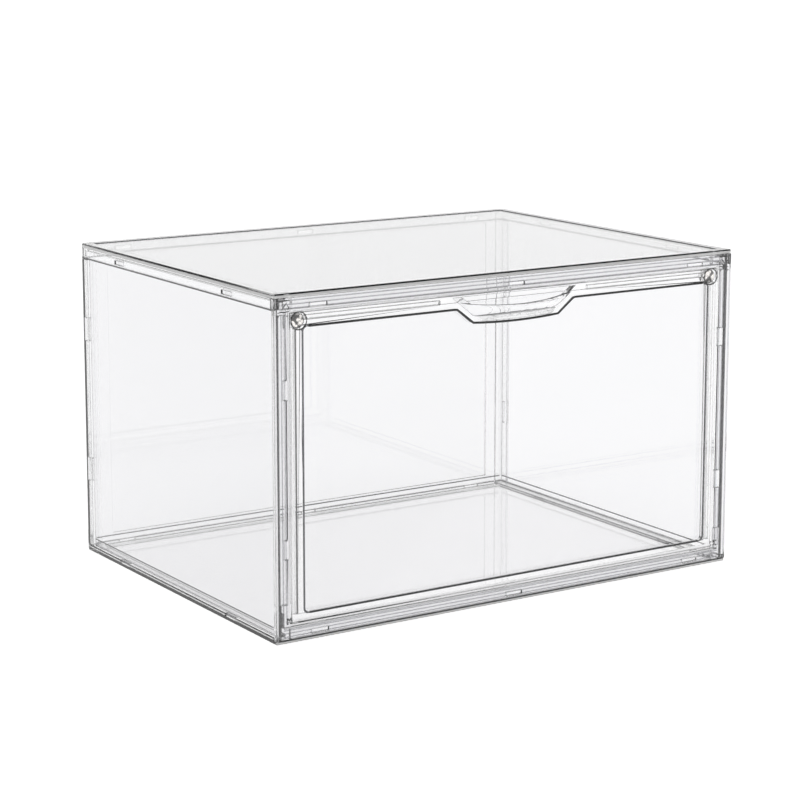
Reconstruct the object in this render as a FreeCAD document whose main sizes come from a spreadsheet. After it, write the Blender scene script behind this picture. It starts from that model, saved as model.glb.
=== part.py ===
"""Clear drop-front display shoe box, in millimetres.

Seven clear mouldings clip together: a top and a bottom tray, two sides, a back, a front frame
and a door that swings down on two stubs. Two pairs of disc magnets hold the door shut.
X runs left to right, Y front to back and Z up. The origin is under the middle of the box.
"""
import FreeCAD, Part
import os
import re
import Sketcher

# Each driving size: its name, its value and what it measures.
SIZES = [
    ("width", 360, "outside of the box, left to right"),
    ("depth", 270, "outside of the box, front to back, without the pull"),
    ("height", 220, "outside of the box, top to bottom"),
    ("pane", 2.2, "thickness of the sides, the back, the frame's face and the door's window"),
    ("fit", 0.15, "clearance between panels that clip together"),
    ("cap", 2.8, "thickness of the top panel"),
    ("top_rim", 10.5, "height of the top panel's rim"),
    ("corner_radius", 3.5, "radius of the trays' corners in plan"),
    ("edge_radius", 1.2, "rounding of the top panel's upper edge"),
    ("base_wall", 1.8, "thickness of the bottom panel"),
    ("plinth", 0.6, "height of the step the box stands on"),
    ("stack_margin", 7.5, "distance of that step from the box's outside"),
    ("stack_recess", 0.5, "depth of the recess on top, where the next box's step sits"),
    ("stack_play", 0.5, "room round the step in that recess"),
    ("bottom_rim", 4.8, "height of the bottom panel's rim above the ground"),
    ("rim_wall", 2.0, "thickness of both rims and of the returns on the frame and the back"),
    ("flange", 2.0, "thickness of the ribs and flanges inside the box"),
    ("flange_width", 8.5, "width of the flanges along the side panels' edges"),
    ("frame_return", 3.7, "depth of the frame's outer return"),
    ("frame_side", 10.6, "width of the frame's face beside the door"),
    ("frame_top", 11.8, "from the box's top to the top of the door opening"),
    ("frame_bottom", 11.0, "from the ground to the bottom of the door opening"),
    ("rebate_wall", 1.5, "wall that lines the door opening"),
    ("stop_width", 6.0, "flange that the door shuts against"),
    ("stop_wall", 2.0, "thickness of that flange"),
    ("door_thickness", 5.0, "overall thickness of the door"),
    ("door_set", 0.4, "how far the door's face lies behind the frame's face"),
    ("door_gap", 0.6, "gap round the door"),
    ("shut_gap", 0.3, "gap between the shut door and its stop"),
    ("door_border", 8.6, "raised border of the door, at its sides and top"),
    ("door_sill", 6.2, "raised border of the door, at its bottom"),
    ("window_step", 2.8, "how far the door's window lies behind its border"),
    ("window_radius", 3.0, "corner radius of the window"),
    ("skirt", 2.3, "wall round the door's outer edge"),
    ("channel", 3.0, "width of the hollow behind the door's border"),
    ("stub_radius", 1.5, "hinge stub"),
    ("stub_length", 2.9, "how far the stub stands out of the door's edge"),
    ("stub_play", 0.08, "radial clearance of the stub in its socket"),
    ("ear_height", 13.5, "height of the hinge ear above the bottom of the door opening"),
    ("ear_width", 4.4, "width of the hinge ear behind the frame's face"),
    ("magnet_radius", 4.5, "disc magnet"),
    ("magnet_thickness", 2.5, "disc magnet"),
    ("magnet_inset", 1.35, "from the side of the door opening to the plastic round the magnet"),
    ("magnet_play", 0.05, "clearance of the magnet in its pocket"),
    ("magnet_round", 0.3, "rounded edge of the magnet's plating"),
    ("magnet_web", 0.7, "plastic in front of the frame's magnet"),
    ("boss_wall", 1.1, "plastic round each magnet"),
    ("pull_top", 13.7, "from the box's top to the top of the finger pocket"),
    ("pull_bottom", 30.5, "from the box's top to the foot of the pull"),
    ("pull_width", 110.0, "width of the pull at the top of the finger pocket"),
    ("pull_foot_width", 68.0, "width of the pull at its foot"),
    ("pull_rim", 5.5, "from the pull's outline in to the finger pocket, across"),
    ("pull_bow", 1.3, "how far the pull's foot bows down"),
    ("pull_foot", 2.7, "how far the foot of the lip bows out of the door's face"),
    ("pull_reach", 6.1, "how far the lip stands out of the box's front"),
    ("lip_wall", 1.8, "thickness of the lip"),
    ("lip_end", 17.4, "from the box's top to the ends of the lip's edge"),
    ("lip_dip", 3.1, "how far the lip's edge dips at its middle"),
    ("pocket_floor", 3.5, "plastic under the finger pocket"),
    ("snap_length", 12.0, "length of the snap tabs on the rims and the frame"),
    ("back_snap_length", 16.0, "length of the snap tabs at the back"),
    ("snap_height", 2.2, "height of a snap tab"),
    ("snap_reach", 1.4, "how far a snap tab reaches into its window"),
    ("snap_play", 0.25, "clearance round a snap tab"),
    ("snap_inset", 31.5, "end snaps of the frame's rails from the box's sides"),
    ("snap_rail", 8.5, "frame's upper snaps below the box's top"),
    ("snap_foot", 5.7, "frame's lower snaps above the ground"),
    ("snap_stile", 7.6, "frame's side snaps from the box's side"),
    ("snap_low", 60.0, "lower snaps of the upright edges above the ground"),
    ("snap_high", 160.0, "upper snaps of the upright edges above the ground"),
    ("snap_rim", 7.0, "rim snaps below the box's top"),
    ("snap_back", 6.1, "snaps at the back from the box's back"),
    ("snap_spread", 150.0, "distance between the two snaps on each side rim"),
    ("back_return", 11.0, "depth of the back panel's returns"),
    ("back_border", 8.5, "width of the thicker border round the back panel"),
    ("back_rib", 1.5, "extra thickness of that border"),
    ("post_width", 9.5, "corner post under the top panel, along the front"),
    ("post_depth", 6.0, "the same post, front to back"),
    ("peg_radius", 1.4, "peg on the side panel that fits the post"),
    ("peg_height", 4.5, "height of that peg"),
    ("peg_play", 0.2, "clearance round the peg"),
    ("peg_pad", 3.4, "height of the pad that carries the peg"),
]
NAMES = {name for name, _, _ in SIZES}

document = FreeCAD.newDocument("shoe_box")
sheet = document.addObject("Spreadsheet::Sheet", "sizes")
for row, (name, value, note) in enumerate(SIZES, 1):
    sheet.set(f"A{row}", note)
    sheet.set(f"B{row}", str(value))
    sheet.setAlias(f"B{row}", name)
document.recompute()


def in_sheet(formula):
    """A formula in the names of the sheet's sizes, as the document reads it."""
    return re.sub(r"[a-z_]+", lambda word: f"sizes.{word[0]}" if word[0] in NAMES else word[0], formula)


def bind(thing, setting, formula):
    """Binds a setting to such a formula."""
    thing.setExpression(setting, in_sheet(formula))


def number(formula):
    """The present value of such a formula."""
    return float(sheet.evalExpression(in_sheet(formula)))


def new_body(label):
    """An empty body for one piece. Its own Y starts at the box's front face."""
    body = document.addObject("PartDesign::Body", label)
    body.Label = label
    bind(body, "Placement.Base.y", "(pull_reach - depth) / 2")
    return body


def block(body, name, x, y, z, cut=False):
    """A block from a low to a high place along each axis, added to the body or cut from it."""
    kind = "PartDesign::SubtractiveBox" if cut else "PartDesign::AdditiveBox"
    feature = body.newObject(kind, name)
    for length, axis, (low, high) in zip(("Length", "Width", "Height"), "xyz", (x, y, z)):
        bind(feature, length, f"({high}) - ({low})")
        bind(feature, f"Placement.Base.{axis}", low)
    return feature


def rod(body, name, radius, axis, low, high, centre, cut=False):
    """A cylinder along an axis from low to high. centre gives its other two places, in XYZ order."""
    kind = "PartDesign::SubtractiveCylinder" if cut else "PartDesign::AdditiveCylinder"
    feature = body.newObject(kind, name)
    turned = {"x": (0, 1, 0, 90), "y": (-1, 0, 0, 90), "z": (0, 0, 1, 0)}[axis]
    feature.Placement.Rotation = FreeCAD.Rotation(FreeCAD.Vector(*turned[:3]), turned[3])
    bind(feature, "Radius", radius)
    bind(feature, "Height", f"({high}) - ({low})")
    places = iter(centre)
    for each in "xyz":
        bind(feature, f"Placement.Base.{each}", low if each == axis else next(places))
    return feature


def on_side(side, inner, outer):
    """The low and high X of a stretch given outward from the middle, on side -1 or 1."""
    return (inner, outer) if side > 0 else (f"-({outer})", f"-({inner})")


def mirrored(side, x, other):
    """A rod's centre whose X lies on side -1 or 1."""
    return (x if side > 0 else f"-({x})", other)


def around(centre, length):
    """The low and high places of a stretch of the given length about its centre."""
    return f"({centre}) - ({length}) / 2", f"({centre}) + ({length}) / 2"


def origin_plane(body, role):
    """One of the body's own origin planes, such as XZ_Plane."""
    return next(part for part in body.Origin.OriginFeatures if part.Role == role)


def outline(body, name, role, offset, points, arcs=None):
    """A closed sketch on an origin plane, moved along the plane's normal by offset.

    points are its corners. arcs gives, for a side's number, how far that side bows out of its
    straight line, which runs along the sketch's own X.
    """
    arcs = arcs or {}
    sketch = body.newObject("Sketcher::SketchObject", name)
    sketch.AttachmentSupport = [(origin_plane(body, role), "")]
    sketch.MapMode = "FlatFace"
    bind(sketch, "AttachmentOffset.Base.z", offset)
    corners = [FreeCAD.Vector(number(across), number(up), 0) for across, up in points]
    last = len(corners) - 1
    for i, start in enumerate(corners):
        end = corners[0 if i == last else i + 1]
        if i in arcs:
            middle = (start + end) / 2 + FreeCAD.Vector(0, number(arcs[i]), 0)
            sketch.addGeometry(Part.Arc(start, middle, end), False)
        else:
            sketch.addGeometry(Part.LineSegment(start, end), False)
    for i, (across, up) in enumerate(points):
        before = (i - 1) % len(points)
        first, joined = (
            min((1, 2), key=lambda end: sketch.getPoint(side, end).distanceToPoint(corners[i]))
            for side in (i, before)
        )
        sketch.addConstraint(Sketcher.Constraint("Coincident", before, joined, i, first))
        for kind, formula in (("DistanceX", across), ("DistanceY", up)):
            place = sketch.addConstraint(Sketcher.Constraint(kind, i, first, number(formula)))
            bind(sketch, f"Constraints[{place}]", formula)
        if i in arcs:
            end = points[0 if i == last else i + 1]
            half = f"abs(({end[0]}) - ({across})) / 2"
            bow = f"abs({arcs[i]})"
            radius = f"(({half}) ^ 2 + ({bow}) ^ 2) / (2 * {bow})"
            place = sketch.addConstraint(Sketcher.Constraint("Radius", i, number(radius)))
            bind(sketch, f"Constraints[{place}]", radius)
    return sketch


def tip_edges(body, chosen):
    """The names of the edges of the body's last feature that a test picks out."""
    document.recompute()
    edges = body.Tip.Shape.Edges
    return [f"Edge{i}" for i, edge in enumerate(edges, 1) if chosen(edge.BoundBox)]


def rounded(body, name, radius, chosen):
    """Fillets the edges of the body's last feature that a test picks out."""
    base, names = body.Tip, tip_edges(body, chosen)
    feature = body.newObject("PartDesign::Fillet", name)
    feature.Base = (base, names)
    bind(feature, "Radius", radius)
    return feature


# Places that several pieces share.
RIM = "width / 2 - rim_wall"
SIDE = f"{RIM} - fit"
SIDE_INNER = f"{SIDE} - pane"
UNDER_CAP = "height - cap"
FLOOR = "plinth + base_wall"
LOW_PLACE = f"{FLOOR} + fit"
HIGH_PLACE = f"{UNDER_CAP} - fit"
BEHIND_FRAME = "pane + fit"
BACK = "depth - rim_wall - fit"
BACK_INNER = f"{BACK} - pane"
OPENING = "width / 2 - frame_side"
OPENING_TOP = "height - frame_top"
DOOR_SIDE = f"{OPENING} - door_gap"
DOOR_TOP = f"{OPENING_TOP} - door_gap"
DOOR_FOOT = "frame_bottom + door_gap"
DOOR_BACK = "door_set + door_thickness"
HINGE_Y = "door_set + door_thickness / 2"
HINGE_Z = f"{DOOR_FOOT} + door_thickness / 2"
STOP = f"{DOOR_BACK} + shut_gap"
STOP_BACK = f"{STOP} + stop_wall"
BOSS = "magnet_radius + magnet_play + boss_wall"
MAGNET_X = f"{OPENING} - magnet_inset - ({BOSS})"
MAGNET_Z = f"{OPENING_TOP} - fit - ({BOSS})"
SNAP_PLACES = ("-(width / 2 - snap_inset)", "0", "width / 2 - snap_inset")
RIM_SNAPS = ("depth / 2 - snap_spread / 2", "depth / 2 + snap_spread / 2")
SNAP_ROOM = "snap_length + 2 * snap_play"
SNAP_GAP = "snap_height + 2 * snap_play"


def tray(label, low, high, wall_low, wall_high, rim_low, rim_high):
    """A tray whose rim runs round its sides and back and leaves its front edge to the frame."""
    body = new_body(label)
    rim_front = "frame_return + fit"
    block(body, "rim", ("-width / 2", "width / 2"), (rim_front, "depth"), (rim_low, rim_high))
    rounded(body, "back_corners", "corner_radius",
            lambda box: box.ZLength > 1 and box.YMin > number("depth") - 1)
    block(body, "front_edge", ("-width / 2", "width / 2"), ("0", f"{rim_front} + pane"), (wall_low, wall_high))
    block(body, "inside", (f"-({RIM})", RIM), ("0", "depth - rim_wall"), (low, high), cut=True)
    return body


def front_rib(body, low, high, snap):
    """A rib behind the frame's rail, with a snap tab at each of the rail's windows."""
    reach = (f"-({OPENING})", OPENING)
    block(body, "front_rib", reach, (BEHIND_FRAME, f"{BEHIND_FRAME} + flange"), (low, high))
    for place in SNAP_PLACES:
        tab = ("pane - snap_reach", BEHIND_FRAME)
        block(body, "front_tab", around(place, "snap_length"), tab, around(snap, "snap_height"))


# The top panel caps the box. Its rim hangs outside the side and back panels, whose tabs snap
# into the rim's windows, and a post in each front corner takes a peg of the side panel.
top = tray("top_panel", "height - top_rim", UNDER_CAP, UNDER_CAP, "height", "height - top_rim", "height")
for side in (-1, 1):
    for place in RIM_SNAPS:
        block(top, "rim_window", on_side(side, RIM, "width / 2"), around(place, SNAP_ROOM),
              around("height - snap_rim", SNAP_GAP), cut=True)
for place in SNAP_PLACES:
    block(top, "back_window", around(place, SNAP_ROOM), ("depth - rim_wall", "depth"),
          around("height - snap_rim", SNAP_GAP), cut=True)
rounded(top, "upper_edge", "edge_radius",
        lambda box: box.ZMin > number("height") - 0.01)
recess = "stack_margin - stack_play"
block(top, "stacking_recess", (f"-(width / 2 - ({recess}))", f"width / 2 - ({recess})"),
      (recess, f"depth - ({recess})"), ("height - stack_recess", "height"), cut=True)
RIB_LOW = f"{OPENING_TOP} + rebate_wall + fit"
front_rib(top, RIB_LOW, UNDER_CAP, "height - snap_rail")
POST_OUTER = f"{SIDE_INNER} - fit"
FLANGE_INNER = f"{OPENING} + rebate_wall + fit"
PEG_X = f"(({FLANGE_INNER}) + ({SIDE_INNER})) / 2"
PEG_Y = f"{BEHIND_FRAME} + post_depth / 2"
for side in (-1, 1):
    block(top, "corner_post", on_side(side, f"{POST_OUTER} - post_width", POST_OUTER),
          (BEHIND_FRAME, f"{BEHIND_FRAME} + post_depth"), (RIB_LOW, UNDER_CAP))
    rod(top, "peg_socket", "peg_radius + peg_play", "z", RIB_LOW, f"{RIB_LOW} + peg_height + peg_play",
        mirrored(side, PEG_X, PEG_Y), cut=True)

# The bottom panel stands on a raised step that fits the recess on top of another box.
bottom = tray("bottom_panel", FLOOR, "bottom_rim", "plinth", FLOOR, "plinth", "bottom_rim")
block(bottom, "plinth_step", ("-(width / 2 - stack_margin)", "width / 2 - stack_margin"),
      ("stack_margin", "depth - stack_margin"), ("0", "plinth"))
front_rib(bottom, FLOOR, "frame_bottom - rebate_wall - fit", "snap_foot")
NOTCH_LOW = "bottom_rim - snap_height + snap_play"
for side in (-1, 1):
    for place in RIM_SNAPS:
        block(bottom, "rim_notch", on_side(side, RIM, "width / 2"), around(place, SNAP_ROOM),
              (NOTCH_LOW, "bottom_rim"), cut=True)
for place in SNAP_PLACES:
    block(bottom, "back_notch", around(place, SNAP_ROOM), ("depth - rim_wall", "depth"),
          (NOTCH_LOW, "bottom_rim"), cut=True)


# The side panels stand inside both rims. A flange turns in along each edge and stiffens it.
EAR_TOP = "frame_bottom + ear_height"
PAD_TOP = f"{RIB_LOW} - fit"
for label, side in (("left_panel", -1), ("right_panel", 1)):
    panel = new_body(label)
    panel_back = f"{BACK_INNER} - fit"
    inward = on_side(side, f"{SIDE} - flange_width", SIDE)
    outward = on_side(side, SIDE, f"{RIM} + snap_reach - fit")
    past_posts = f"{BEHIND_FRAME} + post_depth + fit"
    block(panel, "pane", on_side(side, SIDE_INNER, SIDE), (BEHIND_FRAME, panel_back), (LOW_PLACE, HIGH_PLACE))
    block(panel, "lower_flange", inward, (past_posts, panel_back), (LOW_PLACE, f"{LOW_PLACE} + flange"))
    block(panel, "upper_flange", inward, (past_posts, panel_back), (f"{HIGH_PLACE} - flange", HIGH_PLACE))
    block(panel, "back_flange", inward, (f"{panel_back} - flange", panel_back), (LOW_PLACE, HIGH_PLACE))
    block(panel, "front_flange", on_side(side, FLANGE_INNER, SIDE),
          (BEHIND_FRAME, f"{BEHIND_FRAME} + flange"), (f"{EAR_TOP} + fit", PAD_TOP))
    block(panel, "peg_pad", on_side(side, FLANGE_INNER, SIDE),
          (BEHIND_FRAME, f"{PEG_Y} + peg_radius"), (f"{PAD_TOP} - peg_pad", PAD_TOP))
    rod(panel, "peg", "peg_radius", "z", PAD_TOP, f"{RIB_LOW} + peg_height", mirrored(side, PEG_X, PEG_Y))
    for place in ("snap_low", "snap_high"):
        block(panel, "front_tab", on_side(side, *around("width / 2 - snap_stile", "snap_height")),
              ("pane - snap_reach", BEHIND_FRAME), around(place, "snap_length"))
        block(panel, "back_tab", outward, around("depth - snap_back", "snap_height"),
              around(place, "back_snap_length"))
    for place in RIM_SNAPS:
        block(panel, "upper_tab", outward, around(place, "snap_length"),
              around("height - snap_rim", "snap_height"))
        block(panel, "lower_tab", outward, around(place, "snap_length"),
              (f"{NOTCH_LOW} + snap_play", "bottom_rim"))


# The back panel fits inside both rims. Its returns wrap round the side panels' back edges.
back = new_body("back_panel")
between_rims = ("bottom_rim + fit", "height - top_rim - fit")
border_x = f"{SIDE} - flange_width - fit"
block(back, "pane", (f"-({SIDE})", SIDE), (BACK_INNER, BACK), (LOW_PLACE, HIGH_PLACE))
block(back, "border", (f"-({border_x})", border_x), (f"{BACK_INNER} - back_rib", BACK_INNER),
      (LOW_PLACE, HIGH_PLACE))
block(back, "inside_border", (f"-({border_x} - back_border)", f"{border_x} - back_border"),
      (f"{BACK_INNER} - back_rib", BACK_INNER),
      (f"{LOW_PLACE} + back_border", f"{HIGH_PLACE} - back_border"), cut=True)
block(back, "outer_edges", ("-width / 2", "width / 2"), (BACK_INNER, BACK), between_rims)
for side in (-1, 1):
    block(back, "return", on_side(side, RIM, "width / 2"), ("depth - back_return", BACK), between_rims)
    for place in ("snap_low", "snap_high"):
        block(back, "return_window", on_side(side, RIM, "width / 2"), around("depth - snap_back", SNAP_GAP),
              around(place, "back_snap_length + 2 * snap_play"), cut=True)
for place in SNAP_PLACES:
    tab = (BACK, "depth - rim_wall + snap_reach - fit")
    block(back, "upper_tab", around(place, "snap_length"), tab, around("height - snap_rim", "snap_height"))
    block(back, "lower_tab", around(place, "snap_length"), tab, (f"{NOTCH_LOW} + snap_play", "bottom_rim"))

# The front frame lines the door opening. It holds the hinge sockets, the flange that the door
# shuts against and, behind that flange's upper corners, the pockets of the frame's magnets.
frame = new_body("front_frame")
LINING = f"{OPENING} + rebate_wall"
LINING_LOW = "frame_bottom - rebate_wall"
FRAME_POCKET = f"{STOP} + magnet_web"
block(frame, "face", ("-width / 2", "width / 2"), ("0", "pane"), (LOW_PLACE, HIGH_PLACE))
block(frame, "lining", (f"-({LINING})", LINING), ("pane", STOP_BACK),
      (LINING_LOW, f"{OPENING_TOP} + rebate_wall"))
for side in (-1, 1):
    block(frame, "return", on_side(side, RIM, "width / 2"), ("pane", "frame_return"), (LOW_PLACE, HIGH_PLACE))
    block(frame, "hinge_ear", on_side(side, LINING, f"{OPENING} + ear_width"), ("pane", STOP_BACK),
          (LINING_LOW, EAR_TOP))
block(frame, "opening", (f"-({OPENING})", OPENING), ("0", STOP), ("frame_bottom", OPENING_TOP), cut=True)
block(frame, "stop_opening", (f"-({OPENING} - stop_width)", f"{OPENING} - stop_width"), (STOP, STOP_BACK),
      ("frame_bottom + stop_width", f"{OPENING_TOP} - stop_width"), cut=True)
for side in (-1, 1):
    centre = mirrored(side, MAGNET_X, MAGNET_Z)
    pocket_end = f"{FRAME_POCKET} + magnet_thickness + magnet_play"
    rod(frame, "magnet_boss", BOSS, "y", STOP, pocket_end, centre)
    rod(frame, "magnet_pocket", "magnet_radius + magnet_play", "y", FRAME_POCKET, pocket_end, centre, cut=True)
    socket = on_side(side, OPENING, f"{DOOR_SIDE} + stub_length + snap_play")
    rod(frame, "hinge_socket", "stub_radius + stub_play", "x", *socket, (HINGE_Y, HINGE_Z), cut=True)
    for place in ("snap_low", "snap_high"):
        block(frame, "side_window", on_side(side, *around("width / 2 - snap_stile", SNAP_GAP)),
              ("0", "pane"), around(place, SNAP_ROOM), cut=True)
for place in SNAP_PLACES:
    for level in ("height - snap_rail", "snap_foot"):
        block(frame, "rail_window", around(place, SNAP_ROOM), ("0", "pane"), around(level, SNAP_GAP), cut=True)

# The door is a slab with a round foot that turns on two stubs. Its window is set back from a
# raised border, which is hollow behind.
door = new_body("door")
WINDOW_X = f"{DOOR_SIDE} - door_border"
WINDOW_LOW = f"{DOOR_FOOT} + door_sill"
WINDOW_HIGH = f"{DOOR_TOP} - door_border"
WINDOW_FACE = "door_set + window_step"
CHANNEL_FACE = "door_set + pane"
CHANNEL_OUTER = f"{DOOR_SIDE} - skirt"
CHANNEL_TOP = f"{DOOR_TOP} - skirt"
stub_end = f"{DOOR_SIDE} + stub_length"
block(door, "slab", (f"-({DOOR_SIDE})", DOOR_SIDE), ("door_set", DOOR_BACK), (HINGE_Z, DOOR_TOP))
rod(door, "foot", "door_thickness / 2", "x", f"-({DOOR_SIDE})", DOOR_SIDE, (HINGE_Y, HINGE_Z))
rod(door, "stubs", "stub_radius", "x", f"-({stub_end})", stub_end, (HINGE_Y, HINGE_Z))
block(door, "window", (f"-({WINDOW_X})", WINDOW_X), ("door_set", WINDOW_FACE),
      (WINDOW_LOW, WINDOW_HIGH), cut=True)
rounded(door, "window_corners", "window_radius",
        lambda box: abs(box.YLength - number("window_step")) < 0.01 and box.ZLength < 0.01)
for side in (-1, 1):
    block(door, "side_channel", on_side(side, f"{CHANNEL_OUTER} - channel", CHANNEL_OUTER),
          (CHANNEL_FACE, DOOR_BACK), (WINDOW_LOW, CHANNEL_TOP), cut=True)
    block(door, "top_channel", on_side(side, "pull_width / 2 + channel", CHANNEL_OUTER),
          (CHANNEL_FACE, DOOR_BACK), (f"{CHANNEL_TOP} - channel", CHANNEL_TOP), cut=True)
for side in (-1, 1):
    centre = mirrored(side, MAGNET_X, MAGNET_Z)
    rod(door, "magnet_boss", BOSS, "y", "door_set", DOOR_BACK, centre)
    rod(door, "magnet_pocket", "magnet_radius + magnet_play", "y",
        f"{DOOR_BACK} - magnet_thickness - magnet_play", DOOR_BACK, centre, cut=True)

# The pull is a trapezoid of the border that reaches down into the window. A lip leans out of it
# and leaves a pocket for the fingers, open at the top.
PULL_TOP = "height - pull_top"
PULL_FOOT = "height - pull_bottom"
SLOPE = "(pull_width - pull_foot_width) / 2 / (pull_bottom - pull_top)"
LEAN = "(pull_reach + door_set - pull_foot) / (pull_bottom - lip_end - lip_dip)"


def pull_half(level):
    """Half the pull's width at a height above its foot."""
    return f"(pull_foot_width / 2 + ({SLOPE}) * ({level}))"


def lip_bow(level):
    """How far the lip's outside bows out of the door's face at a height above the pull's foot."""
    return f"(pull_foot + ({LEAN}) * ({level}))"


def bowed_loft(name, kind, face, levels, half, bow):
    """A loft between two sketches, each a chord on the plane at face and an arc in front of it."""
    sketches = []
    for level in levels:
        ends = [(f"-({half(level)})", face), (half(level), face)]
        sketches.append(outline(door, f"{name}_outline", "XY_Plane", f"{PULL_FOOT} + ({level})",
                                ends, {1: f"-({bow(level)})"}))
    loft = door.newObject(kind, name)
    loft.Profile = sketches[0]
    loft.Sections = sketches[1:]
    loft.Ruled = True
    return loft


pull_height = "pull_bottom - pull_top"
apron = outline(door, "pull_outline", "XZ_Plane", "-door_set",
                [("-pull_foot_width / 2", PULL_FOOT), ("pull_foot_width / 2", PULL_FOOT),
                 (pull_half(pull_height), PULL_TOP), (f"-{pull_half(pull_height)}", PULL_TOP)],
                {0: "-pull_bow"})
pad = door.newObject("PartDesign::Pad", "pull_apron")
pad.Profile = apron
pad.Reversed = True
bind(pad, "Length", "window_step")
ROOT = "(lip_wall / 3)"
bowed_loft("lip", "PartDesign::AdditiveLoft", f"door_set + {ROOT}", ("0", pull_height),
           lambda level: f"({pull_half(level)} - pull_rim + lip_wall)",
           lambda level: f"({lip_bow(level)} + {ROOT})")
lip_half = f"({pull_half('pull_bottom - lip_end')} - pull_rim)"
arch = f"(({lip_half}) ^ 2 + lip_dip ^ 2) / (2 * lip_dip)"
rod(door, "lip_edge", arch, "y", "-3 * pull_reach", "door_set",
    ("0", f"height - lip_end - lip_dip + {arch}"), cut=True)
bowed_loft("finger_pocket", "PartDesign::SubtractiveLoft", WINDOW_FACE, ("pocket_floor", pull_height),
           lambda level: f"({pull_half(level)} - pull_rim)",
           lambda level: f"({lip_bow(level)} + window_step - lip_wall)")

# The disc magnets: two in the door, two in the frame behind them.
for holder, floor in (("door", f"{DOOR_BACK} - magnet_thickness - magnet_play"), ("frame", FRAME_POCKET)):
    for word, side in (("left", -1), ("right", 1)):
        magnet = new_body(f"{holder}_magnet_{word}")
        rod(magnet, "disc", "magnet_radius", "y", floor, f"{floor} + magnet_thickness",
            mirrored(side, MAGNET_X, MAGNET_Z))
        rounded(magnet, "plated_edges", "magnet_round", lambda box: box.YLength < 0.01)

# Every object has to be sound, and every piece one valid solid, before a file is written.
document.recompute()
failed = [f"{each.Name}: {each.State}" for each in document.Objects if {"Invalid", "Error"} & set(each.State)]
bodies = [each for each in document.Objects if each.TypeId == "PartDesign::Body"]
for body in bodies:
    if body.Shape.isNull() or not body.Shape.isValid() or len(body.Shape.Solids) != 1:
        failed.append(f"{body.Label}: not one valid solid")
if failed:
    raise SystemExit("\n".join(failed))
os.makedirs("parts", exist_ok=True)
for body in bodies:
    body.Shape.exportStep(f"parts/{body.Label}.step")
    print(body.Label, round(body.Shape.Volume), body.Shape.BoundBox)
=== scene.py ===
"""Looks of the clear drop-front shoe box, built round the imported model."""
import math

import bmesh
import bpy
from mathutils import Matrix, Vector
from mathutils.bvhtree import BVHTree


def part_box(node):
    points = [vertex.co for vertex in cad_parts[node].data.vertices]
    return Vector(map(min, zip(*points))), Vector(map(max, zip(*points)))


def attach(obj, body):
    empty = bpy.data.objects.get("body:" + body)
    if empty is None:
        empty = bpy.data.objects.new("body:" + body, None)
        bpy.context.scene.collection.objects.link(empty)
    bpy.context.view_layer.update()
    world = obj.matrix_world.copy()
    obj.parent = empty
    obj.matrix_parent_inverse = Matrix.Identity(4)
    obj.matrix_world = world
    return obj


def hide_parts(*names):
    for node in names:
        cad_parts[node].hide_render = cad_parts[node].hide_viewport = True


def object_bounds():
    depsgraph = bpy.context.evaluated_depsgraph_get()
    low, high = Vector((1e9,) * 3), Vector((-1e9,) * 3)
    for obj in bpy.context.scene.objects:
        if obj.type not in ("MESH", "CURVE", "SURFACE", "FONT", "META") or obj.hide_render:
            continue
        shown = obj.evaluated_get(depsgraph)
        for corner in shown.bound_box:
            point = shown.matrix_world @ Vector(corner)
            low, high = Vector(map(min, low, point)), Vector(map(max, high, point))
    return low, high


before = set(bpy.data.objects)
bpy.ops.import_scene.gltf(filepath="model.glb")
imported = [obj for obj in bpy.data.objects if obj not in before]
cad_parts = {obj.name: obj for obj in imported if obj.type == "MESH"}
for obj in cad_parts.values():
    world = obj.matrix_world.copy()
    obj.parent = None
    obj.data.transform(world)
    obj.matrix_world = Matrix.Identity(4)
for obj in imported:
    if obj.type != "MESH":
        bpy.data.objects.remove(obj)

MM = 0.001
cad_low, cad_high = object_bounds()
scene = bpy.context.scene

# Camera: a long lens a little above the box, turned to its left front corner.
# Plain white and plain clear edges need the Standard view and many bounces.
AZIMUTH, ELEVATION = math.radians(-32.90), math.radians(9.77)
DISTANCE = 1.641
back = Vector((
    math.sin(AZIMUTH) * math.cos(ELEVATION),
    -math.cos(AZIMUTH) * math.cos(ELEVATION),
    math.sin(ELEVATION),
))
right = Vector((math.cos(AZIMUTH), math.sin(AZIMUTH), 0))
aim = Vector((0, 3.05, 168.24)) * MM - right * 1.88 * MM
camera = bpy.data.objects.new("camera", bpy.data.cameras.new("camera"))
camera.data.lens = 106.56
camera.data.shift_y = -0.1
camera.data.clip_end = 200
camera.location = aim + back * DISTANCE
camera.rotation_mode = "QUATERNION"
camera.rotation_quaternion = (-back).to_track_quat("-Z", "Y")
scene.collection.objects.link(camera)
scene.camera = camera
scene.view_settings.view_transform = "Standard"
scene.cycles.max_bounces = 40
scene.cycles.transmission_bounces = 40
scene.cycles.glossy_bounces = 8
scene.cycles.diffuse_bounces = 2


# Floor: a wide sheet of matt white paper on a light table. It glows from
# below, so the clear box takes hardly a shadow and its foot stays bright.
def linear(code):
    """An sRGB hex colour as linear RGBA."""
    parts = [int(code[i:i + 2], 16) / 255 for i in (1, 3, 5)]
    return [c / 12.92 if c <= 0.04045 else ((c + 0.055) / 1.055) ** 2.4 for c in parts] + [1.0]


FLOOR_HALF = 60.0
UNDER_BOX = 0.05
floor_mesh = bpy.data.meshes.new("floor")
corners = [(x * FLOOR_HALF, y * FLOOR_HALF, 0) for x, y in ((-1, -1), (1, -1), (1, 1), (-1, 1))]
floor_mesh.from_pydata(corners, [], [(0, 1, 2, 3)])
floor = bpy.data.objects.new("floor", floor_mesh)
floor.location.z = cad_low.z - UNDER_BOX * MM
scene.collection.objects.link(floor)
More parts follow.
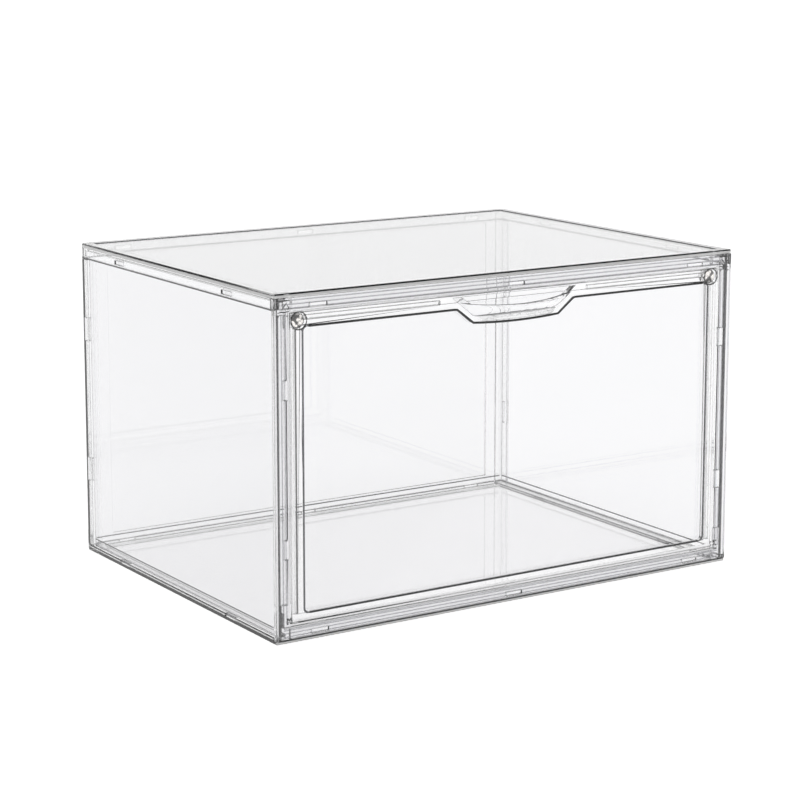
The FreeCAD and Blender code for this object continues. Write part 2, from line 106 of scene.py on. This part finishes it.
# Matt white paper, uncoated: no gloss at all, even white.
paper = bpy.data.materials.new("matt white paper")
paper.use_nodes = True
shader = paper.node_tree.nodes["Principled BSDF"]
shader.inputs["Base Color"].default_value = linear("#c8c8c8")
shader.inputs["Roughness"].default_value = 0.9
shader.inputs["Specular IOR Level"].default_value = 0.0
shader.inputs["Emission Color"].default_value = (1, 1, 1, 1)
shader.inputs["Emission Strength"].default_value = 0.9
floor_mesh.materials.append(paper)


# Room: white studio walls all round at eye level, greyer overhead, so that
# clear edges have something darker to bend into view.
def add_node(tree, kind, settings=None, links=None):
    """Adds a shader node with its settings, and links its inputs from other nodes' outputs."""
    made = tree.nodes.new(kind)
    for name, value in (settings or {}).items():
        if name in made.inputs:
            made.inputs[name].default_value = value
        else:
            setattr(made, name, value)
    for name, source in (links or {}).items():
        tree.links.new(source, made.inputs[name])
    return made


world = bpy.data.worlds.new("studio")
scene.world = world
world.use_nodes = True
tree = world.node_tree
tree.nodes.clear()
place = add_node(tree, "ShaderNodeTexCoord")
split = add_node(tree, "ShaderNodeSeparateXYZ", links={"Vector": place.outputs["Generated"]})
ramp = add_node(tree, "ShaderNodeValToRGB", links={"Fac": split.outputs["Z"]})
ramp.color_ramp.elements[0].position = 0.16
ramp.color_ramp.elements[0].color = (1, 1, 1, 1)
ramp.color_ramp.elements[1].position = 0.55
ramp.color_ramp.elements[1].color = (0.3, 0.3, 0.3, 1)
sky = add_node(tree, "ShaderNodeBackground", {"Strength": 1.0}, {"Color": ramp.outputs["Color"]})
add_node(tree, "ShaderNodeOutputWorld", links={"Surface": sky.outputs["Background"]})

# Lamp: one large soft box overhead, for a little sparkle on the rounds and
# on the magnets.
lamp_data = bpy.data.lights.new("soft box", "AREA")
lamp_data.shape = "RECTANGLE"
lamp_data.size, lamp_data.size_y = 2.4, 1.6
lamp_data.energy = 5.0
lamp = bpy.data.objects.new("soft box", lamp_data)
lamp.location = (-0.5, -0.6, 2.4)
lamp.rotation_euler = (math.radians(-14), math.radians(-12), 0)
scene.collection.objects.link(lamp)


# Bottom panel: a shallow tray of clear polystyrene that the box stands on,
# injection moulded in one piece. Notches in its rim take the walls' lower
# tabs, and its own tabs snap into the front frame's lower rail.
def clear_plastic(name, painted_tone):
    """Crystal polystyrene from a polished mould: glass-clear, with a wet gloss.

    Faint flow marks, taken as 14 mm across, soften the gloss in patches. The colour given is painted
    shade, matched pane by pane and round by round; the real plastic is one colour all through."""
    FLOW_MARK, DULLEST = 14, 0.02
    made = bpy.data.materials.new(name)
    made.use_nodes = True
    tree = made.node_tree
    shader = tree.nodes["Principled BSDF"]
    shader.inputs["Base Color"].default_value = linear(painted_tone)
    shader.inputs["IOR"].default_value = 1.57
    shader.inputs["Transmission Weight"].default_value = 1.0
    place = add_node(tree, "ShaderNodeTexCoord")
    flow = add_node(tree, "ShaderNodeTexNoise", {"Scale": 1 / (FLOW_MARK * MM), "Detail": 0.0},
                    {"Vector": place.outputs["Object"]})
    wiped = add_node(tree, "ShaderNodeMapRange", {"To Min": 0.0, "To Max": DULLEST},
                     {"Value": flow.outputs["Fac"]})
    tree.links.new(wiped.outputs["Result"], shader.inputs["Roughness"])
    return made


# Finishes that the mouldings share, in the order of their material slots. Rounds are 0.3 mm or
# more, likely coarser than real. Their grey to near-black tones are painted shade: the darker the
# tone, the darker the line that they draw.
PANE, POLISHED, SMALL_ROUND, DARK_SHADED_ROUND, JOINT_SHADED_ROUND = range(5)
shared_finishes_and_painted_shades = [
    clear_plastic("crystal polystyrene, polished mould", "#ffffff"),
    clear_plastic("crystal polystyrene, small round, painted grey shade", "#cececf"),
    clear_plastic("crystal polystyrene, round, painted dark shade", "#0c0c0e"),
    clear_plastic("crystal polystyrene, joint round, painted shade", "#3e3e42"),
]
SHARP = math.radians(32)
ROUND, WIDEST = 0.3, 2.0


def moulding(node, name, body, painted_tone, is_pane, round_of=None, painted_shade_slot_of=None, split=None):
    """A piece in the shape of a CAD node, with moulded rounds on its edges.

    is_pane says which faces are its pane, whose tone is painted shade. round_of gives an edge's radius
    in mm, and the argument after it the slot of each face once they are made, which places the
    painted shade of the rounds. split cuts the faces level at that height."""
    shape = bmesh.new()
    shape.from_mesh(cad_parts[node].data)
    bmesh.ops.remove_doubles(shape, verts=shape.verts, dist=0.004 * MM)
    skin = BVHTree.FromBMesh(shape)
    if split:
        bmesh.ops.bisect_plane(shape, geom=shape.verts[:] + shape.edges[:] + shape.faces[:],
                               plane_co=(0, 0, split * MM), plane_no=(0, 0, 1), dist=0.001 * MM)
    weight = shape.edges.layers.float.new("bevel_weight_edge")
    for e in shape.edges:
        if len(e.link_faces) != 2 or e.calc_face_angle() < SHARP:
            continue
        middle = (e.verts[0].co + e.verts[1].co) / 2 / MM
        e[weight] = (round_of(middle, e) if round_of else ROUND) / WIDEST
    mesh = bpy.data.meshes.new(name)
    shape.to_mesh(mesh)
    shape.free()
    if "custom_normal" in mesh.attributes:
        mesh.attributes.remove(mesh.attributes["custom_normal"])
    # The pane's tone and the shared rounds' grey to near-black tones are painted shade.
    for finish in (clear_plastic(f"crystal polystyrene, {name} pane", painted_tone), *shared_finishes_and_painted_shades):
        mesh.materials.append(finish)
    piece = bpy.data.objects.new(name, mesh)
    scene.collection.objects.link(piece)
    bevel = piece.modifiers.new("moulded rounds", "BEVEL")
    bevel.width = WIDEST * MM
    bevel.segments = 2
    bevel.limit_method = "WEIGHT"
    bevel.use_clamp_overlap = False
    bevel.material = SMALL_ROUND
    for p in mesh.polygons:
        p.material_index = PANE if is_pane(p.center / MM, p.normal) else POLISHED
    rounded = bpy.data.meshes.new_from_object(piece.evaluated_get(bpy.context.evaluated_depsgraph_get()))
    piece.modifiers.clear()
    piece.data = rounded
    # A round that a sliver threw off the moulding's skin goes back to it, and none leaves its box.
    low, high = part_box(node)
    for v in rounded.vertices:
        nearest, _, _, off = skin.find_nearest(v.co)
        if off > 2 * ROUND * MM:
            v.co = nearest
        v.co = [min(max(at, least), most) for at, least, most in zip(v.co, low, high)]
    for p in rounded.polygons:
        if p.material_index == SMALL_ROUND:
            p.use_smooth = True
        if painted_shade_slot_of:
            p.material_index = painted_shade_slot_of(p.center / MM, p.normal, p.material_index)
    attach(piece, body)
    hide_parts(node)
    return piece


# Clouded edge: the same polystyrene drawn half cloudy, so that an edge which guides light reads
# soft grey instead of black. The real edge may be as clear as the rest.
CLOUDED = 0.5
hazed = clear_plastic("crystal polystyrene, clouded edge", "#ffffff")
hazed.node_tree.nodes["Principled BSDF"].inputs["Transmission Weight"].default_value = CLOUDED


def haze(piece, test):
    """Gives the faces that pass the test the clouded finish."""
    slot = len(piece.data.materials)
    piece.data.materials.append(hazed)
    for p in piece.data.polygons:
        if test(p.center / MM, p.normal):
            p.material_index = slot


# The case's outer faces, in mm. The pull stands out in front of the frame.
PULL_OUT, DEPTH, SIDE, HEIGHT = 6.1, 270.0, 180.0, 220.0
FRONT = cad_low.y / MM + PULL_OUT
BACK = FRONT + DEPTH
NEAR = 0.1


def at_joint(c):
    """Whether a point lies in the band along the sides and back where the panels meet, where rounds take
    painted joint shade.
    """
    return abs(c.x) > SIDE - 3 or c.y > BACK - 5


CORNER_ROUND, OUTER_ROUND = 1.2, 0.5


def tray_round(middle, e):
    """Rounds of the two trays: larger at the outside corners and along the outside edges."""
    along = e.verts[0].co - e.verts[1].co
    upright = abs(along.z) > 0.9 * along.length
    on_side = abs(middle.x) > SIDE - NEAR
    front_or_back = middle.y < FRONT + NEAR or middle.y > BACK - NEAR
    if upright and on_side and front_or_back:
        return CORNER_ROUND
    top_or_foot = middle.z < NEAR or middle.z > HEIGHT - NEAR
    return OUTER_ROUND if (on_side or front_or_back) and top_or_foot else ROUND


TRAY_FLOOR = 2.4
# Its pane's faint lavender tone and its grey rounds are painted shade, darker on the rounds along the sides
# and back above 4 mm.
bottom = moulding(
    "bottom_panel", "bottom_moulding", "case", "#fefdff",
    lambda c, n: n.z > 0.9 and abs(c.z - TRAY_FLOOR) < 0.1, tray_round,
    lambda c, n, slot: JOINT_SHADED_ROUND if slot == SMALL_ROUND and c.z > 4.0 and at_joint(c) else slot,
    split=TRAY_FLOOR)
haze(bottom, lambda c, n: c.z < TRAY_FLOOR and abs(n.z) < 0.2 and c.y < FRONT + 1)

# Side panels: two flat clear walls, mirror images, injection moulded. Tabs on
# all four edges snap into both trays, the front frame and the back.
WALL_INSIDE = 175.65
# The walls' grey pane tone and the grey rounds at their edges are painted shade; rounds more than 9.5 mm in
# from the outside stay clear.
for word, side in (("left", -1), ("right", 1)):
    moulding(
        f"{word}_panel", f"{word}_moulding", "case", "#e3e3e5",
        lambda c, n: n.x * side < -0.9 and WALL_INSIDE - 0.15 < abs(c.x) < WALL_INSIDE + 0.35, None,
        lambda c, n, slot: POLISHED if slot == SMALL_ROUND and abs(c.x) < 170.5 else slot)

# Back panel: a flat clear wall, injection moulded. Its returns wrap round the
# back edges of the sides, and its tabs snap into both trays.
# Its grey pane tone and the grey rounds round its border are painted shade; rounds inside the border stay
# clear.
moulding(
    "back_panel", "back_moulding", "case", "#d8d8da",
    lambda c, n: n.y > 0.9 and abs(c.y - BACK + 2.15) < 0.1, None,
    lambda c, n, slot: POLISHED if slot == SMALL_ROUND and abs(c.x) < 172 and 6 < c.z < 212 else slot)

# Front frame: an open clear moulding round the door opening, injection moulded.
# It has sockets for the hinge stubs, pockets for the two mating magnets, and
# windows in its face that its neighbours' tabs snap into.
# Its grey pane tone and its grey rounds are painted shade.
moulding(
    "front_frame", "frame_moulding", "case", "#dcdcde",
    lambda c, n: n.y < -0.9 and abs(c.y - FRONT) < 0.1)

# Top panel: a clear injection-moulded cap, whose rim hangs outside the walls
# and snaps over their tabs. A recess 0.5 mm deep in its face takes the foot of
# another box. Its outer edge is drawn half cloudy.
CAP_FOOT, RECESS = 217.2, 219.5


def cap_painted_shade(c, n, slot):
    """Painted dark shade on the rounds along the front of the cap, painted joint shade at the recess and the
    rim's foot.
    """
    if c.z > 218.8 and 0.5 < n.z < 0.97 and c.y < FRONT + 1.4:
        return DARK_SHADED_ROUND
    if c.z > 218.8 and n.z < 0.97 and c.y > BACK - 1:
        return POLISHED
    if slot != SMALL_ROUND:
        return slot
    at_recess = c.z > 219.3 and abs(c.x) < SIDE - 5 and FRONT + 5 < c.y < BACK - 5
    at_foot = c.z < 210.3 and at_joint(c)
    return JOINT_SHADED_ROUND if at_recess or at_foot else slot


# The cap's grey pane tone and its rounds are painted shade: near black along the front, dark grey at the
# recess and the rim's foot, grey elsewhere, clear along the back.
top = moulding(
    "top_panel", "top_moulding", "case", "#d8d8d9",
    lambda c, n: n.z > 0.9 and abs(c.z - RECESS) < 0.2, tray_round, cap_painted_shade, split=CAP_FOOT)
haze(top, lambda c, n: abs(n.z) < 0.2 and CAP_FOOT < c.z < 219.4 and (
    abs(c.x) > SIDE - 1 or c.y > BACK - 1 or c.y < FRONT + 1))


# Beads and joint lines of the case: low ribs moulded on the frame's rails and
# stiles, and the joints where the walls meet the two trays. Their grey to
# near-black tones are painted shade of the lines that the clear plastic bends
# into view. Each is drawn about 0.8 mm wide, likely coarser than the real
# one, so that it shows.
def strip(name, points, width, proud, facing, material, body="case"):
    """A low half-round bead along a line of points in mm, tapered at both ends."""
    ARC, TIP = 6, 0.35
    points = [Vector(at) * MM for at in points]
    out = Vector(facing)
    shape = bmesh.new()
    rings = []
    for i, at in enumerate(points):
        before, after = points[max(i - 1, 0)], points[min(i + 1, len(points) - 1)]
        across = (after - before).normalized().cross(out)
        fat = TIP if i in (0, len(points) - 1) else 1.0
        turns = [math.pi * k / ARC for k in range(ARC + 1)]
        rings.append([
            shape.verts.new(at + across * (math.cos(a) * width / 2 * fat * MM)
                            + out * (math.sin(a) * proud * fat * MM))
            for a in turns
        ])
    for one, two in zip(rings, rings[1:]):
        for k in range(ARC + 1):
            j = (k + 1) % (ARC + 1)
            shape.faces.new((one[k], one[j], two[j], two[k]))
    shape.faces.new(rings[0])
    shape.faces.new(rings[-1][::-1])
    bmesh.ops.recalc_face_normals(shape, faces=shape.faces)
    mesh = bpy.data.meshes.new(name)
    shape.to_mesh(mesh)
    shape.free()
    mesh.materials.append(material)
    piece = bpy.data.objects.new(name, mesh)
    scene.collection.objects.link(piece)
    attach(piece, body)


def run(start, end, tip=0.8):
    """A straight line's points, with one near each end for the taper."""
    start, end = Vector(start), Vector(end)
    step = (end - start).normalized() * tip
    return [start, start + step, end - step, end]


# The same moulded polystyrene, its tone painted shade for how dark each line reads: pale for the
# beads, dark grey for the foot lines and wall hems, and near black for the joints under the rims and the
# pips.
bead_painted_shade = clear_plastic("crystal polystyrene, stiffening bead, painted shade", "#bcbcc0")
joint_painted_shade = clear_plastic("crystal polystyrene, joint line, painted shade", "#18181a")
grey_painted_shade = clear_plastic("crystal polystyrene, grey line, painted shade", "#464649")
BEAD_WIDE, BEAD_PROUD = 0.8, 0.12
BEHIND_FACE, ON_FACE = FRONT + 2.2, FRONT + 0.2
JUST_INSIDE = 0.16
RIM_WIDE = 1.0
RIM_FOOT, RIM_HEAD = 210.1, 4.2
for i, z in enumerate((215.3, 212.9, 210.4, 8.6, 6.6, 4.4)):
    strip(f"frame_bead_{i}", run((-174.5, BEHIND_FACE, z), (174.5, BEHIND_FACE, z)), BEAD_WIDE, BEAD_PROUD,
          (0, 1, 0), bead_painted_shade)
ahead = FRONT - 0.02
strip("front_foot_line", run((-178.6, ahead, 2.7), (178.6, ahead, 2.7)), BEAD_WIDE, 0.14,
      (0, -1, 0), joint_painted_shade)
for side, word in ((-1, "left"), (1, "right")):
    x = side * (SIDE - JUST_INSIDE)
    strip(f"{word}_foot_line", run((x, FRONT + 3, RIM_HEAD), (x, FRONT + 266, RIM_HEAD)),
          BEAD_WIDE, BEAD_PROUD, (side, 0, 0), grey_painted_shade)
    strip(f"{word}_rim_line", run((x, FRONT + 2, RIM_FOOT), (x, FRONT + 268, RIM_FOOT)),
          RIM_WIDE, BEAD_PROUD, (side, 0, 0), joint_painted_shade)
    for i, x in enumerate((177.0, 174.4, 172.0)):
        strip(f"{word}_stile_bead_{i}", run((side * x, BEHIND_FACE, 12), (side * x, BEHIND_FACE, 207)),
              BEAD_WIDE, BEAD_PROUD, (0, 1, 0), bead_painted_shade)
    # The end of the door's hinge stub shows as four dark pips, drawn as near-black beads: painted shade.
    for i, (x, z) in enumerate(((172.1, 16.2), (169.8, 16.4), (172.1, 13.1), (169.8, 13.2))):
        ends = (side * x - 0.6, ON_FACE, z), (side * x + 0.6, ON_FACE, z)
        strip(f"{word}_hinge_pip_{i}", run(*ends, 0.4), 1.2, 0.16, (0, -1, 0), joint_painted_shade)
y = BACK - JUST_INSIDE
strip("back_rim_line", run((-178, y, RIM_FOOT), (178, y, RIM_FOOT)), RIM_WIDE, BEAD_PROUD,
      (0, 1, 0), joint_painted_shade)
strip("back_foot_line", run((-178, y, RIM_HEAD), (178, y, RIM_HEAD)), BEAD_WIDE, BEAD_PROUD,
      (0, 1, 0), grey_painted_shade)

# Hems inside the case: the real rim inside the box is taller than the CAD's,
# which ends at 4.8 mm. These grey lines, their tone painted shade, draw only its
# upper edge on the walls and its border on the floor; the step between them is not modelled.
hem_painted_shade = clear_plastic("crystal polystyrene, floor border, painted shade", "#86868a")
HEM, BACK_INSIDE, BORDER = 9.2, FRONT + 264.14, FRONT + 258
HEM_WIDE, HEM_PROUD = 0.9, 0.15
for side, word in ((-1, "left"), (1, "right")):
    x = side * (WALL_INSIDE + 0.01)
    strip(f"{word}_wall_hem", run((x, FRONT + 9, HEM), (x, FRONT + 263.4, HEM)), HEM_WIDE, HEM_PROUD,
          (-side, 0, 0), grey_painted_shade)
    x = side * 169.4
    strip(f"{word}_floor_hem", run((x, FRONT + 9, TRAY_FLOOR), (x, BORDER, TRAY_FLOOR)), HEM_WIDE, BEAD_PROUD,
          (0, 0, 1), hem_painted_shade)
strip("back_wall_hem", run((-174, BACK_INSIDE, HEM), (174, BACK_INSIDE, HEM)), HEM_WIDE, HEM_PROUD,
      (0, -1, 0), grey_painted_shade)
strip("back_floor_hem", run((-169, BORDER, TRAY_FLOOR), (169, BORDER, TRAY_FLOOR)), HEM_WIDE, BEAD_PROUD,
      (0, 0, 1), hem_painted_shade)

# Corner marks: the tangle of fine dark marks in the frame's two upper corners,
# drawn as near-black ribs on its face. Their tone is painted reflection, standing for the bent reflections in
# the real one.
# Their paths are listed, and wider than real.
corner_painted_reflection = clear_plastic("crystal polystyrene, corner marks, painted reflection", "#1e1e20")
MARK_WIDE, MARK_PROUD = 0.9, 0.16
for word, side in (("left", -1), ("right", 1)):
    for i, line in enumerate((
        ((179.0, 218.2), (177.8, 219.2), (175.8, 219.3), (172.0, 219.0)),
        ((177.5, 217.4), (175.0, 218.0), (172.5, 217.0), (170.5, 217.8)),
        ((178.5, 215.6), (176.0, 215.4), (172.0, 215.6), (169.0, 215.8)),
        ((178.8, 210.2), (177.4, 211.6), (176.0, 213.6)),
        ((174.6, 210.0), (172.8, 212.4), (170.8, 214.4)),
        ((177.6, 208.2), (175.0, 208.8), (172.4, 208.4), (168.6, 209.2)),
        ((170.9, 213.0), (169.6, 211.2), (170.4, 209.6)),
        ((178.0, 206.2), (177.2, 206.0), (176.4, 206.3)),
        ((171.6, 206.2), (170.8, 206.0), (170.0, 206.3)),
    )):
        strip(f"corner_web_{word}_{i}", [(side * x, ON_FACE, z) for x, z in line], MARK_WIDE, MARK_PROUD,
              (0, -1, 0), corner_painted_reflection)


# Door: clear, injection moulded in one piece, with a recessed window and a
# bowed pull in its top rail. It turns on two stubs at its lower corners.
PANE_FRONT = FRONT + 3.2


def in_pocket(c):
    """Whether a point lies within the flared pull."""
    return c.z > 191.5 and abs(c.x) < 31.0 + (c.z - 189.5) * 1.25


def door_round(middle, e):
    """Rounds of the door: larger round the foot of the recessed window."""
    in_window = 17.0 < middle.z < 200.0 and abs(middle.x) < 161.0
    at_pane = abs(middle.y - PANE_FRONT) < NEAR
    return OUTER_ROUND if at_pane and in_window and not in_pocket(middle) else ROUND


def door_painted_shade(c, n, slot):
    """Painted joint shade on the rounds in front of the pane round the pull, and elsewhere as they are."""
    at_pull = c.z > 188 and abs(c.x) < 56 and c.y < PANE_FRONT + 0.2
    return JOINT_SHADED_ROUND if slot == SMALL_ROUND and at_pull else slot


# The door pane's faint grey tone and its grey rounds are painted shade, darker round the pull.
moulding("door", "door_moulding", "door", "#f5f5f6",
         lambda c, n: n.y < -0.9 and abs(c.y - PANE_FRONT) < 0.1, door_round, door_painted_shade)

# Window lip: the raised line round the door's window, moulded with the door.
# It reads darkest over the window and round the pull, so its near-black to grey tone is painted shade, set by
# side.
LIP = FRONT + 0.42
LIP_PROUD = 0.3
bold = clear_plastic("crystal polystyrene, window lip above", "#060607")
mild = clear_plastic("crystal polystyrene, window lip below", "#2c2c2f")
pale = clear_plastic("crystal polystyrene, window lip beside", "#66666a")


def arc(cx, cz, radius, begin, end, steps=6):
    """Points of an arc in the door's face, with angles in degrees."""
    turns = [math.radians(begin + (end - begin) * i / steps) for i in range(steps + 1)]
    return [(cx + radius * math.cos(a), LIP, cz + radius * math.sin(a)) for a in turns]


LIP_X, LIP_ROUND, LIP_LOW, LIP_HIGH = 156.8, 3.1, 18.1, 198.7
PULL_HALF, PULL_Z, PULL_BOW = 33.5, 189.0, 1.3
bow_steps = (-PULL_HALF, -26, -17, -8, 0, 8, 17, 26, PULL_HALF)
bow = [(x, LIP, PULL_Z - PULL_BOW * (1 - (x / PULL_HALF) ** 2)) for x in bow_steps]
shoulder = [(x, LIP, z) for x, z in
            ((LIP_X, LIP_HIGH), (155, LIP_HIGH), (48, LIP_HIGH), (46.2, 198.5), (44.8, 197.6))]
above = [(-x, y, z) for x, y, z in shoulder] + bow + shoulder[::-1]
low_turn, high_turn = LIP_LOW + LIP_ROUND, LIP_HIGH - LIP_ROUND
left_line = arc(-LIP_X, high_turn, LIP_ROUND, 90, 180) + arc(-LIP_X, low_turn, LIP_ROUND, 180, 270)
right_line = arc(LIP_X, low_turn, LIP_ROUND, -90, 0) + arc(LIP_X, high_turn, LIP_ROUND, 0, 90)
for name, line, width, material in (
    ("above", above, 1.5, bold),
    ("left", left_line, 1.4, pale),
    ("below", run((-LIP_X, LIP, LIP_LOW), (LIP_X, LIP, LIP_LOW)), 1.4, mild),
    ("right", right_line, 1.4, pale),
):
    strip(f"window_lip_{name}", line, width, LIP_PROUD, (0, -1, 0), material, "door")

# Magnets: four nickel-plated discs, 9 mm across, set in round pockets: two in
# the door's upper corners, and a mate behind each in the frame.
# Nickel, plated smooth over the disc: a warm, bright mirror. Light and dark patches, coarser
# than any real dent, are painted reflection in its colour and bumps: they stand for the broken reflection in
# so small a face.
PATCH = 2.8
nickel = bpy.data.materials.new("nickel plate")
nickel.use_nodes = True
shader = nickel.node_tree.nodes["Principled BSDF"]
tree = nickel.node_tree
place = add_node(tree, "ShaderNodeTexCoord")
dent_and_reflection_patch = add_node(tree, "ShaderNodeTexVoronoi", {"Scale": 1 / (PATCH * MM), "feature": "SMOOTH_F1"},
                {"Vector": place.outputs["Object"]})
tone = add_node(tree, "ShaderNodeValToRGB", links={"Fac": dent_and_reflection_patch.outputs["Distance"]})
tone.color_ramp.elements[0].position = 0.3
tone.color_ramp.elements[0].color = linear("#f6f2ee")
tone.color_ramp.elements[1].position = 0.48
tone.color_ramp.elements[1].color = linear("#262524")
dish = add_node(tree, "ShaderNodeBump", {"Strength": 0.9, "Distance": 1.2 * MM},
                {"Height": dent_and_reflection_patch.outputs["Distance"]})
tree.links.new(tone.outputs["Color"], shader.inputs["Base Color"])
tree.links.new(dish.outputs["Normal"], shader.inputs["Normal"])
shader.inputs["Metallic"].default_value = 1.0
shader.inputs["Roughness"].default_value = 0.12

AROUND = 64
THICK = 2.4
OUTLINE = [(0, 0.25), (1.2, 0.2), (2.2, 0.05), (3.4, 0.0), (3.9, 0.0), (4.25, 0.06), (4.44, 0.2), (4.5, 0.4),
           (4.5, THICK - 0.4), (4.4, THICK - 0.1), (4.1, THICK), (0, THICK)]


def disc_magnet(node, body):
    """A disc magnet turned from its outline: a rounded rim, and a shallow dish in the face."""
    low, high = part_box(node)
    middle = (Vector(low) + Vector(high)) / 2
    shape = bmesh.new()
    rings = []
    for r, y in OUTLINE:
        rings.append([
            shape.verts.new(middle + Vector((math.cos(a) * r, y - THICK / 2, math.sin(a) * r)) * MM)
            for a in [math.tau * i / AROUND for i in range(AROUND if r else 1)]
        ])
    for one, two in zip(rings, rings[1:]):
        for i in range(AROUND):
            j = (i + 1) % AROUND
            corners = [one[i % len(one)], one[j % len(one)], two[j % len(two)], two[i % len(two)]]
            shape.faces.new(list(dict.fromkeys(corners)))
    bmesh.ops.recalc_face_normals(shape, faces=shape.faces)
    mesh = bpy.data.meshes.new(f"{node}_disc")
    shape.to_mesh(mesh)
    shape.free()
    for p in mesh.polygons:
        p.use_smooth = True
    mesh.materials.append(nickel)
    piece = bpy.data.objects.new(f"{node}_disc", mesh)
    scene.collection.objects.link(piece)
    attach(piece, body)
    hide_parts(node)
    return middle


# Boss rims: the round wall of each door magnet's pocket, as it shows from the
# front, moulded with the door, drawn as a dark bead whose tone is painted shade.
boss_rim_painted_shade = clear_plastic("crystal polystyrene, boss rim, painted shade", "#3c3a38")
BOSS, STEPS = 5.5, 48
for word in ("left", "right"):
    disc_magnet(f"frame_magnet_{word}", "case")
    middle = disc_magnet(f"door_magnet_{word}", "door") / MM
    turns = [math.tau * i / STEPS for i in range(STEPS + 1)]
    ring = [(middle.x + BOSS * math.cos(a), LIP, middle.z + BOSS * math.sin(a)) for a in turns]
    strip(f"boss_rim_{word}", ring, 0.8, 0.25, (0, -1, 0), boss_rim_painted_shade, "door")
